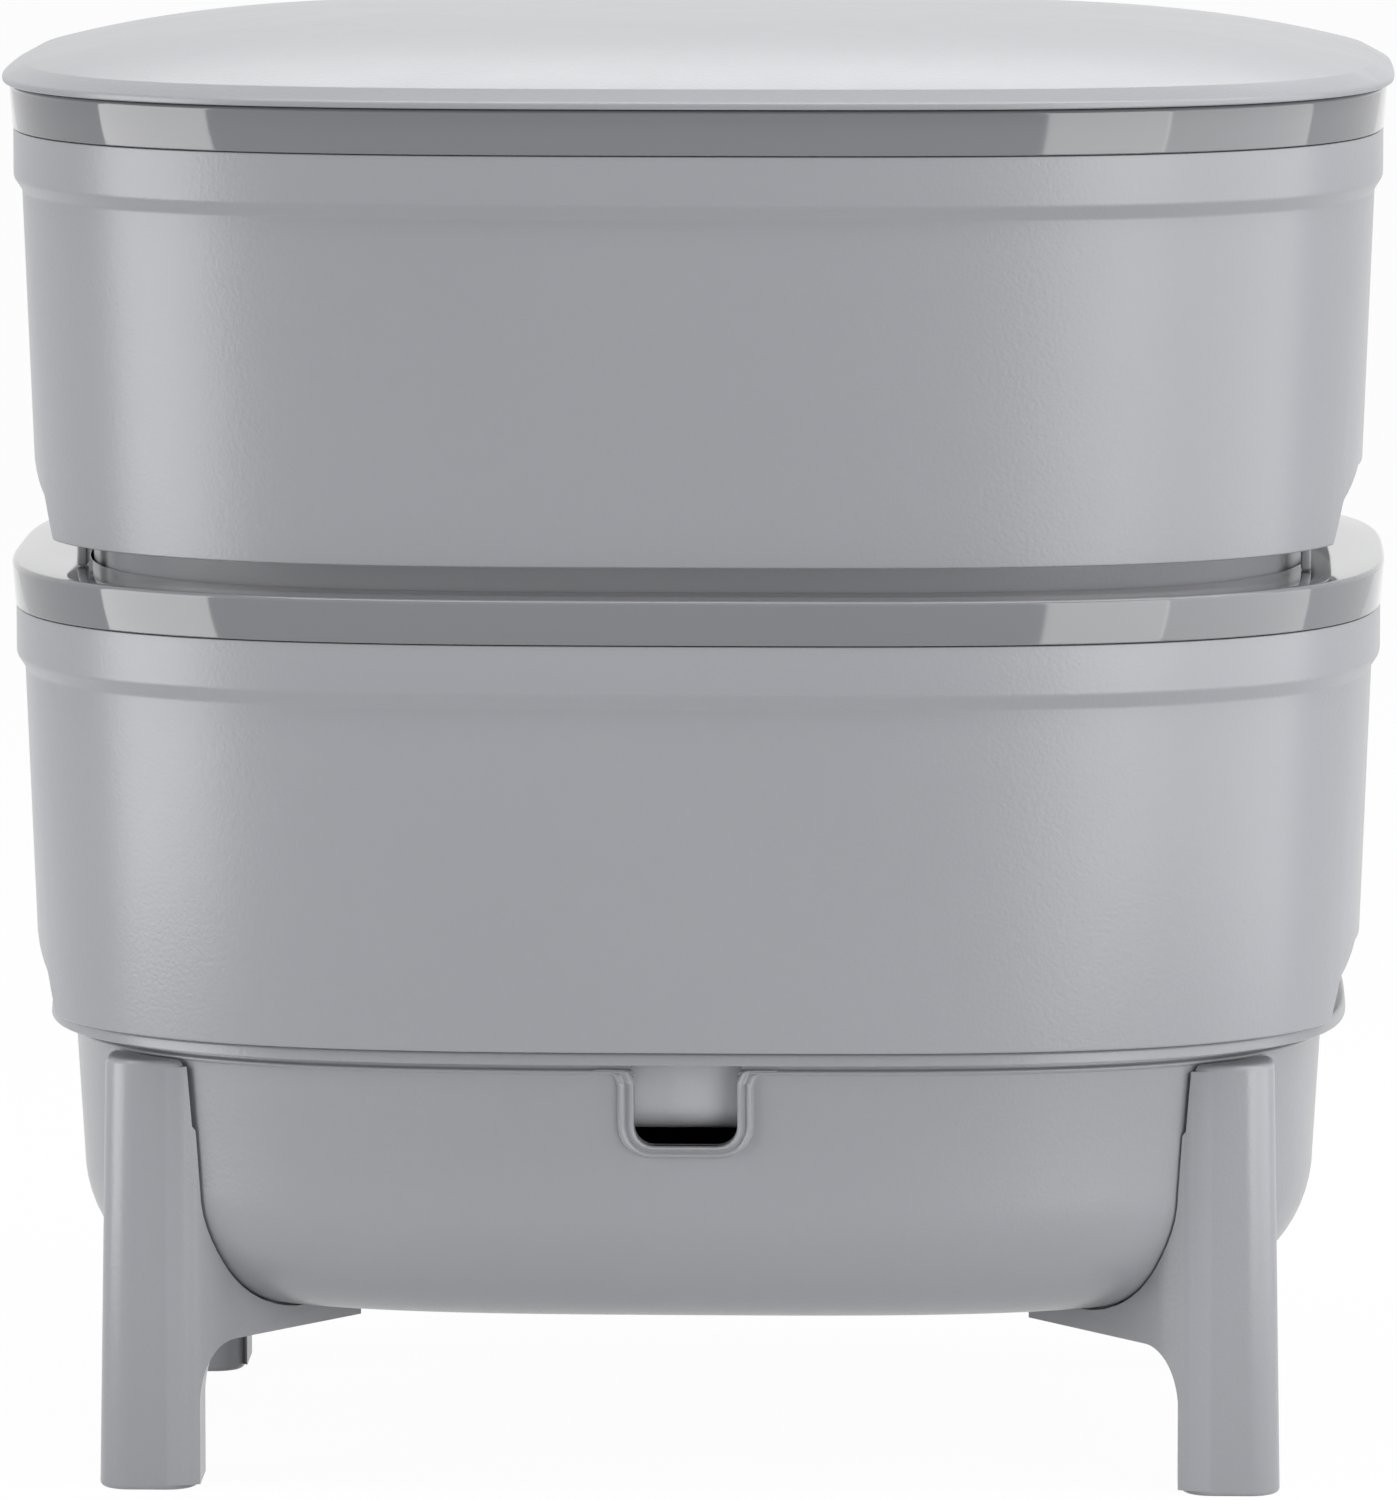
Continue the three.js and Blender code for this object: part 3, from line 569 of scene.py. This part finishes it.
def tray_wall_inset(level):
    """Inset of the tray's outer wall at a height between its rounded corner and the ridge."""
    foot = TRAY_UNDERSIDE + TRAY_CORNER
    top = TRAY_TOP - RIDGE_DROP - RIDGE_HEIGHT
    share = (level - foot) / (top - foot)
    return TRAY_BOTTOM_OUTSIDE + (TRAY_TOP_OUTSIDE - TRAY_BOTTOM_OUTSIDE) * share


def make_tray():
    height = TRAY_TOP - TRAY_UNDERSIDE
    ridge_top = height - RIDGE_DROP
    ridge_foot = ridge_top - RIDGE_HEIGHT
    under = height - FLANGE_THICKNESS
    centre = TRAY_BOTTOM_OUTSIDE + TRAY_CORNER
    inside = [(inset, height + TRAY_FLOOR, 0) for inset, height, _ in
              reversed(tray_foot(0, centre, TRAY_CORNER - TRAY_WALL))]
    profile = rounded(tray_foot(0, centre, TRAY_CORNER) + [
        (TRAY_TOP_OUTSIDE, ridge_foot, RIDGE_EDGE),
        (TRAY_TOP_OUTSIDE - RIDGE_PROUD, ridge_foot + RIDGE_EDGE / 2, RIDGE_EDGE),
        (TRAY_TOP_OUTSIDE - RIDGE_PROUD, ridge_top - RIDGE_EDGE / 2, RIDGE_EDGE),
        (TRAY_TOP_OUTSIDE, ridge_top, RIDGE_EDGE),
        (TRAY_TOP_OUTSIDE, under, FLANGE_FILLET),
        (FLANGE_OUTSIDE, under, FLANGE_EDGE),
        (FLANGE_OUTSIDE + FLANGE_LEAN, height, FLANGE_TOP_EDGE),
        (TRAY_TOP_OUTSIDE + TRAY_WALL, height, FLANGE_EDGE),
    ] + inside, False)
    tray = to_object("collecting_tray_fine", sweep(profile, TRAY_UNDERSIDE, False))
    wall_face = OVAL_HALF_DEPTH - TRAY_TOP_OUTSIDE
    origin = Vector((0, -wall_face + TRAY_WALL + CUTTER_MARGIN, 0))
    depth = TRAY_WALL + FRAME_PROUD + 2 * CUTTER_MARGIN
    combine(tray, prism(window_outline(), depth, origin, X_AXIS, Z_AXIS), "DIFFERENCE")
    join_mesh(tray, window_frame())
    return tray


def window_outline():
    sill = WINDOW_TOP - WINDOW_HEIGHT
    return rounded([
        (-WINDOW_HALF_WIDTH, sill, WINDOW_CORNER),
        (WINDOW_HALF_WIDTH, sill, WINDOW_CORNER),
        (WINDOW_HALF_WIDTH, WINDOW_TOP - WINDOW_FLARE_HEIGHT, WINDOW_FLARE_HEIGHT / 2),
        (WINDOW_HALF_WIDTH + WINDOW_FLARE, WINDOW_TOP, 0),
        (-WINDOW_HALF_WIDTH - WINDOW_FLARE, WINDOW_TOP, 0),
        (-WINDOW_HALF_WIDTH, WINDOW_TOP - WINDOW_FLARE_HEIGHT, WINDOW_FLARE_HEIGHT / 2),
    ], True)


def bead_edges():
    """Inner and outer edge of the bead round the window, both running out along the ridge."""
    sill = WINDOW_TOP - WINDOW_HEIGHT
    ridge_top = TRAY_TOP - RIDGE_DROP
    ridge_foot = ridge_top - RIDGE_HEIGHT
    outer_half = WINDOW_HALF_WIDTH + FRAME_BORDER
    far = outer_half + 2 * FRAME_FILLET
    inner = rounded(both_sides([
        (far, ridge_top, 0),
        (WINDOW_HALF_WIDTH + WINDOW_FLARE, ridge_top, FRAME_FLARE_ROUND),
        (WINDOW_HALF_WIDTH, ridge_top - WINDOW_FLARE_HEIGHT, FRAME_FILLET),
        (WINDOW_HALF_WIDTH, sill, WINDOW_CORNER),
    ]), False)
    outer = rounded(both_sides([
        (far, ridge_foot, 0),
        (outer_half + FRAME_FLARE_ROUND, ridge_foot, FRAME_FILLET),
        (outer_half, ridge_foot - WINDOW_FLARE_HEIGHT, FRAME_FILLET),
        (outer_half, sill - FRAME_SILL, FRAME_CORNER),
    ]), False)
    return inner, outer


def window_frame():
    """Rounded bead round the window that runs out into the ridge at both upper ends."""
    inner, outer = bead_edges()
    ridge_foot = TRAY_TOP - RIDGE_DROP - RIDGE_HEIGHT
    last = len(inner) - 1
    mesh = bmesh.new()
    rows = []
    for i, (near, wide) in enumerate(zip(inner, outer)):
        at_end = min(i, last - i) / (2 * ROUND_STEPS)
        proud = RIDGE_PROUD + (FRAME_PROUD - RIDGE_PROUD) * min(1, at_end)
        row = []
        for share, height in FRAME_SECTION_SHARES:
            point = near.lerp(wide, share)
            wall = OVAL_HALF_DEPTH - tray_wall_inset(min(point.y, ridge_foot))
            row.append(mesh.verts.new((point.x, -wall - height * proud, point.y)))
        rows.append(row)
    for first, second in zip(rows, rows[1:]):
        for i in range(len(FRAME_SECTION_SHARES) - 1):
            mesh.faces.new((first[i], second[i], second[i + 1], first[i + 1]))
    bmesh.ops.recalc_face_normals(mesh, faces=mesh.faces)
    return mesh


def both_sides(right):
    """Left half and right half of a path given from its right upper end down to its middle."""
    left = [(-across, height, radius) for across, height, radius in right]
    return left + list(reversed(right))


def post_levels():
    """Height of each row of the post and how far its rounded foot or top pulls it in."""
    levels = [(0, LEG_FOOT_EDGE)]
    for step in range(1, ROUND_STEPS + 1):
        angle = step / ROUND_STEPS * math.pi / 2
        levels.append((LEG_FOOT_EDGE * (1 - math.cos(angle)), LEG_FOOT_EDGE * (1 - math.sin(angle))))
    for step in range(ROUND_STEPS + 1):
        angle = step / ROUND_STEPS * math.pi / 2
        level = LEG_HEIGHT - LEG_TOP_EDGE * (1 - math.sin(angle))
        levels.append((level, LEG_TOP_EDGE * (1 - math.cos(angle))))
    return levels


def leg_post():
    """Post of the front right leg: rounded squares from the foot to the top."""
    mesh = bmesh.new()
    rings = []
    for level, edge in post_levels():
        half = (LEG_FOOT_WIDTH + (LEG_TOP_WIDTH - LEG_FOOT_WIDTH) * level / LEG_HEIGHT) / 2
        rings.append([
            mesh.verts.new((LEG_INNER_SIDE + half + x, half - LEG_FRONT + y, level))
            for x, y in rounded_square(half - edge, LEG_CORNER - edge)
        ])
    for low, high in zip(rings, rings[1:]):
        for i, vert in enumerate(low):
            j = (i + 1) % len(low)
            mesh.faces.new((vert, low[j], high[j], high[i]))
    mesh.faces.new(list(reversed(rings[0])))
    mesh.faces.new(rings[-1])
    return mesh


def rounded_square(half, radius):
    points = []
    offset = half - radius
    centres = [(offset, offset), (-offset, offset), (-offset, -offset), (offset, -offset)]
    for quarter, (x, y) in enumerate(centres):
        for step in range(LEG_CORNER_STEPS + 1):
            angle = (quarter + step / LEG_CORNER_STEPS) * math.pi / 2
            points.append((x + radius * math.cos(angle), y + radius * math.sin(angle)))
    return points


def fin_plan():
    """Outline of the front right leg's fin seen from above; it leaves the post's face along an arc."""
    turn = math.radians(FIN_TURN_DEGREES)
    start = LEG_INNER_SIDE + LEG_CORNER
    front = -LEG_FRONT
    plan = [(start, front + FIN_THICKNESS), (start, front)]
    for step in range(1, FIN_STEPS + 1):
        angle = step / FIN_STEPS * turn
        plan.append((start - FIN_BEND * math.sin(angle), FIN_BEND * (1 - math.cos(angle)) + front))
    bend = Vector(plan[-1])
    tip = bend + Vector((-FIN_REACH, FIN_REACH * math.tan(turn)))
    back = Vector((math.sin(turn), math.cos(turn))) * FIN_THICKNESS
    return plan + [tip, tip + back, bend + back]


def arch_outline():
    """Space below the fin seen from the front."""
    side = LEG_INNER_SIDE - FIN_OVERLAP
    under = TRAY_UNDERSIDE - LEG_GAP - FIN_DEPTH
    outline = [(side, -CUTTER_MARGIN)]
    for step in range(FIN_STEPS + 1):
        angle = step / FIN_STEPS * math.pi / 2
        outline.append((side - FIN_FILLET_WIDTH * (1 - math.cos(angle)),
                        under - FIN_FILLET_HEIGHT * (1 - math.sin(angle))))
    return outline + [(0, under), (0, -CUTTER_MARGIN)]


def leg_fin():
    height = LEG_HEIGHT - LEG_TOP_EDGE - LEG_FOOT_EDGE
    return prism(fin_plan(), height, Vector((0, 0, LEG_FOOT_EDGE)), X_AXIS, Y_AXIS)


def leg_arch():
    return prism(arch_outline(), OVAL_HALF_DEPTH, Vector((0, 0, 0)), X_AXIS, Z_AXIS)


def tray_space():
    """Space that the legs leave free for the collecting tray, wider above the jog."""
    above = TRAY_TOP - TRAY_UNDERSIDE + CUTTER_MARGIN
    jog = LEG_JOG_HEIGHT - TRAY_UNDERSIDE
    centre = TRAY_BOTTOM_OUTSIDE + TRAY_CORNER
    profile = rounded(tray_foot(LEG_GAP, centre, TRAY_CORNER + LEG_GAP) + [
        (tray_wall_inset(LEG_JOG_HEIGHT) - LEG_GAP, jog, 0),
        (tray_wall_inset(LEG_JOG_HEIGHT) - LEG_JOG_GAP, jog + LEG_JOG_RISE, 0),
        (TRAY_TOP_OUTSIDE - LEG_JOG_GAP, TRAY_TOP - TRAY_UNDERSIDE - RIDGE_DROP - RIDGE_HEIGHT, 0),
        (TRAY_TOP_OUTSIDE - LEG_JOG_GAP, above, 0),
        (OVAL_HALF_DEPTH, above, 0),
    ], False)
    return sweep(profile, TRAY_UNDERSIDE, False)


def make_legs(material):
    fin = to_object("fin_master", leg_fin())
    combine(fin, leg_arch(), "DIFFERENCE")
    leg = to_object("leg_master", leg_post())
    fin_mesh = bmesh.new()
    fin_mesh.from_mesh(fin.data)
    bpy.data.meshes.remove(fin.data)
    combine(leg, fin_mesh, "UNION")
    combine(leg, tray_space(), "DIFFERENCE")
    for side, side_name in ((1, "right"), (-1, "left")):
        for end, end_name in ((1, "front"), (-1, "rear")):
            node = f"leg_{end_name}_{side_name}"
            mesh = bmesh.new()
            mesh.from_mesh(leg.data)
            piece = to_object(node + "_fine", mirrored(mesh, side, end))
            stand_for(piece, node, "base", material)
    bpy.data.meshes.remove(leg.data)


def make_lid():
    dome_inset = LID_BEVEL_WIDTH - LID_OUTSET
    dome_foot = LID_SIDE + LID_BEVEL_HEIGHT
    width = OVAL_HALF_DEPTH - dome_inset

    def dome(inset):
        return dome_foot + LID_DOME_RISE * (1 - (1 - (inset - dome_inset) / width) ** LID_DOME_POWER)

    spacing = [(step / LID_DOME_STEPS) ** LID_DOME_SPACING for step in range(LID_DOME_STEPS + 1)]
    insets = [dome_inset + width * share for share in spacing]
    rib_foot = LID_RIB_FOOT - LID_BASE
    under = [(inset, dome(inset) - LID_SKIN, 0) for inset in reversed(insets) if inset > LID_RIB_INSIDE]
    over = [(inset, dome(inset), 0) for inset in insets[1:]]
    rim_inside = LID_RIM - LID_OUTSET
    profile = rounded(under + [
        (LID_RIB_INSIDE, dome(LID_RIB_INSIDE) - LID_SKIN, 0),
        (LID_RIB_INSIDE, rib_foot, LID_EDGE),
        (LID_RIB_OUTSIDE, rib_foot, LID_EDGE),
        (LID_RIB_OUTSIDE, dome(LID_RIB_OUTSIDE) - LID_SKIN, 0),
        (rim_inside, dome(rim_inside) - LID_SKIN, LID_EDGE),
        (rim_inside, 0, LID_EDGE),
        (-LID_OUTSET, 0, LID_EDGE),
        (-LID_OUTSET, LID_SIDE, LID_EDGE * 2),
        (dome_inset, dome_foot, LID_BEVEL_ROUND),
    ] + over, False)
    return to_object("lid_fine", sweep(profile, LID_BASE, False))


def link(tree, source, output, target, entry):
    tree.links.new(source.outputs[output], target.inputs[entry])


def noise(tree, place, scale, detail):
    node = tree.nodes.new("ShaderNodeTexNoise")
    node.inputs["Scale"].default_value = scale
    node.inputs["Detail"].default_value = detail
    link(tree, place, "Object", node, "Vector")
    return node


def spread(tree, source, output, low, high):
    """Maps 0..1 to low..high."""
    node = tree.nodes.new("ShaderNodeMapRange")
    node.inputs["To Min"].default_value = low
    node.inputs["To Max"].default_value = high
    link(tree, source, output, node, "Value")
    return node


def painted_edge_highlight(tree):
    """Factor that lightens the convex edges a little: a painted highlight along them."""
    surface = tree.nodes.new("ShaderNodeNewGeometry")
    edge = tree.nodes.new("ShaderNodeMapRange")
    edge.inputs["From Min"].default_value = EDGE_START
    edge.inputs["From Max"].default_value = EDGE_FULL
    edge.inputs["To Min"].default_value = 1
    edge.inputs["To Max"].default_value = EDGE_LIFT
    link(tree, surface, "Pointiness", edge, "Value")
    return edge


def clouded_colour(tree, place, colour):
    """The plastic's colour with faint clouding, and convex edges lightened as a painted highlight."""
    cloud = noise(tree, place, CLOUD_SCALE, CLOUD_DETAIL)
    clouding = spread(tree, cloud, "Fac", 1 - CLOUD_SHARE, 1 + CLOUD_SHARE)
    both = tree.nodes.new("ShaderNodeMath")
    both.operation = "MULTIPLY"
    link(tree, clouding, "Result", both, 0)
    link(tree, painted_edge_highlight(tree), "Result", both, 1)
    tint = tree.nodes.new("ShaderNodeVectorMath")
    tint.operation = "SCALE"
    tint.inputs[0].default_value = colour
    link(tree, both, "Value", tint, "Scale")
    return tint


def mould_grain(tree, place, scale, depth):
    """Fine bumps that the mould leaves on the surface."""
    bump = tree.nodes.new("ShaderNodeBump")
    bump.inputs["Strength"].default_value = GRAIN_STRENGTH
    bump.inputs["Distance"].default_value = depth
    link(tree, noise(tree, place, scale, GRAIN_DETAIL), "Fac", bump, "Height")
    return bump


def moulded_plastic(name, colour, roughness, specular, coat, grain, grain_depth):
    """Injection-moulded plastic: fine mould grain, faint clouding, and a painted highlight that makes the
    convex edges a little lighter.
    """
    material = bpy.data.materials.new(name)
    material.use_nodes = True
    tree = material.node_tree
    shader = tree.nodes["Principled BSDF"]
    place = tree.nodes.new("ShaderNodeTexCoord")
    link(tree, clouded_colour(tree, place, colour), "Vector", shader, "Base Color")
    rub = noise(tree, place, RUB_SCALE, RUB_DETAIL)
    sheen = spread(tree, rub, "Fac", roughness * (1 - RUB_SHARE), roughness * (1 + RUB_SHARE))
    link(tree, sheen, "Result", shader, "Roughness")
    link(tree, mould_grain(tree, place, grain, grain_depth), "Normal", shader, "Normal")
    shader.inputs["Specular IOR Level"].default_value = specular
    shader.inputs["Coat Weight"].default_value = coat
    shader.inputs["Coat Roughness"].default_value = COAT_ROUGHNESS
    return material


def soft_light(name, azimuth, elevation, distance, width, height, watts):
    """Rectangular soft light aimed at the object. Azimuth 0 is in front and grows to the right."""
    turn, lift = math.radians(azimuth), math.radians(elevation)
    direction = Vector((math.sin(turn) * math.cos(lift), -math.cos(turn) * math.cos(lift), math.sin(lift)))
    light = bpy.data.lights.new(name, "AREA")
    light.shape = "RECTANGLE"
    light.size = width
    light.size_y = height
    light.energy = watts
    lamp = bpy.data.objects.new(name, light)
    lamp.location = Vector((0, 0, LAMP_AIM)) + direction * distance
    lamp.rotation_euler = direction.to_track_quat("Z", "Y").to_euler()
    lamp.visible_camera = False
    bpy.context.scene.collection.objects.link(lamp)


def background_rays(tree):
    """1 for camera, mirror and see-through rays, 0 for the rays that carry light."""
    path = tree.nodes.new("ShaderNodeLightPath")
    total = path.outputs["Is Camera Ray"]
    for name in ("Is Glossy Ray", "Is Transmission Ray"):
        larger = tree.nodes.new("ShaderNodeMath")
        larger.operation = "MAXIMUM"
        tree.links.new(total, larger.inputs[0])
        tree.links.new(path.outputs[name], larger.inputs[1])
        total = larger.outputs["Value"]
    return total


def make_world():
    world = bpy.data.worlds.new("studio")
    world.use_nodes = True
    bpy.context.scene.world = world
    tree = world.node_tree
    light = tree.nodes["Background"]
    light.inputs["Color"].default_value = COOL_WHITE
    light.inputs["Strength"].default_value = WORLD_LIGHT
    white = tree.nodes.new("ShaderNodeBackground")
    white.inputs["Color"].default_value = WHITE
    mix = tree.nodes.new("ShaderNodeMixShader")
    tree.links.new(background_rays(tree), mix.inputs["Fac"])
    tree.links.new(light.outputs["Background"], mix.inputs[1])
    tree.links.new(white.outputs["Background"], mix.inputs[2])
    tree.links.new(mix.outputs["Shader"], tree.nodes["World Output"].inputs["Surface"])


def pale_surface(name, albedo, glow_share):
    """Matte material that looks pale to the camera and in reflections and adds no light of its own."""
    material = bpy.data.materials.new(name)
    material.use_nodes = True
    tree = material.node_tree
    matte = tree.nodes["Principled BSDF"]
    matte.inputs["Base Color"].default_value = (albedo, albedo, albedo, 1)
    matte.inputs["Roughness"].default_value = FLOOR_ROUGHNESS
    matte.inputs["Specular IOR Level"].default_value = 0
    glow = tree.nodes.new("ShaderNodeEmission")
    glow.inputs["Color"].default_value = WHITE
    share = tree.nodes.new("ShaderNodeMath")
    share.operation = "MULTIPLY"
    share.inputs[1].default_value = glow_share
    tree.links.new(background_rays(tree), share.inputs[0])
    mix = tree.nodes.new("ShaderNodeMixShader")
    tree.links.new(share.outputs["Value"], mix.inputs["Fac"])
    tree.links.new(matte.outputs["BSDF"], mix.inputs[1])
    tree.links.new(glow.outputs["Emission"], mix.inputs[2])
    tree.links.new(mix.outputs["Shader"], tree.nodes["Material Output"].inputs["Surface"])
    return material


def make_paper():
    """White paper under and behind the object, which keeps a faint shadow of it."""
    mesh = bmesh.new()
    corners = [(-PAPER_FRONT_HALF, -PAPER_FRONT), (PAPER_FRONT_HALF, -PAPER_FRONT),
               (PAPER_BACK_HALF, PAPER_BACK), (-PAPER_BACK_HALF, PAPER_BACK)]
    mesh.faces.new([mesh.verts.new((x, y, FLOOR_LEVEL)) for x, y in corners])
    paper = to_object("paper", mesh)
    paper.data.materials.append(pale_surface("white_paper", PAPER_ALBEDO, PAPER_GLOW_SHARE))


def make_studio_floor():
    mesh = bmesh.new()
    bmesh.ops.create_grid(mesh, x_segments=STUDIO_SEGMENTS, y_segments=STUDIO_SEGMENTS, size=STUDIO_SIZE / 2,
                          matrix=Matrix.Translation((0, 0, FLOOR_LEVEL - STUDIO_DROP)))
    floor = to_object("studio_floor", mesh)
    floor.data.materials.append(pale_surface("pale_studio_floor", STUDIO_ALBEDO, STUDIO_GLOW_SHARE))


def make_camera():
    data = bpy.data.cameras.new("photo_camera")
    data.sensor_width = SENSOR
    data.lens = FOCAL_PIXELS * SENSOR / IMAGE_HEIGHT
    data.shift_x = (IMAGE_WIDTH / 2 - CENTRE_COLUMN) / IMAGE_HEIGHT
    data.clip_end = CAMERA_REACH
    camera = bpy.data.objects.new("photo_camera", data)
    camera.location = (CAMERA_DISTANCE * math.sin(CAMERA_TURN), -CAMERA_DISTANCE * math.cos(CAMERA_TURN),
                       CAMERA_HEIGHT)
    camera.rotation_euler = (math.pi / 2 - CAMERA_PITCH, 0, CAMERA_TURN)
    bpy.context.scene.collection.objects.link(camera)
    bpy.context.scene.camera = camera


def make_object():
    body = moulded_plastic("satin_grey_plastic", BODY_COLOUR, BODY_ROUGHNESS, BODY_SPECULAR, 0,
                           GRAIN_SCALE, GRAIN_DEPTH)
    # The baskets' lighter colour is painted light for the shaded gap between the trays
    inside = moulded_plastic("basket_grey_plastic_lightened", BASKET_LIGHTENED_COLOUR, BASKET_ROUGHNESS, BASKET_SPECULAR, 0,
                             GRAIN_SCALE, GRAIN_DEPTH)
    gloss = moulded_plastic("gloss_grey_plastic", GLOSS_COLOUR, GLOSS_ROUGHNESS, GLOSS_SPECULAR, GLOSS_COAT,
                            POLISH_SCALE, POLISH_DEPTH)
    for tier, base in (("lower", LOWER_BASE), ("upper", UPPER_BASE)):
        rides = tier + "_tray"
        stand_for(make_ring(tier + "_rim_ring_fine", base), tier + "_rim_ring", rides, gloss)
        shell = make_shell(tier + "_shell_fine", base)
        if tier == "upper":
            add_posts(shell)
        stand_for(shell, tier + "_shell", rides, body)
        stand_for(make_basket(tier + "_basket_fine", base), tier + "_basket", rides, inside)
    stand_for(make_tray(), "collecting_tray", "base", body)
    make_legs(body)
    stand_for(make_lid(), "lid", "lid", body)


make_object()
make_world()
make_paper()
make_studio_floor()
make_camera()
for soft_light_values in SOFT_LIGHTS:
    soft_light(*soft_light_values)
bpy.context.scene.view_settings.view_transform = "Standard"
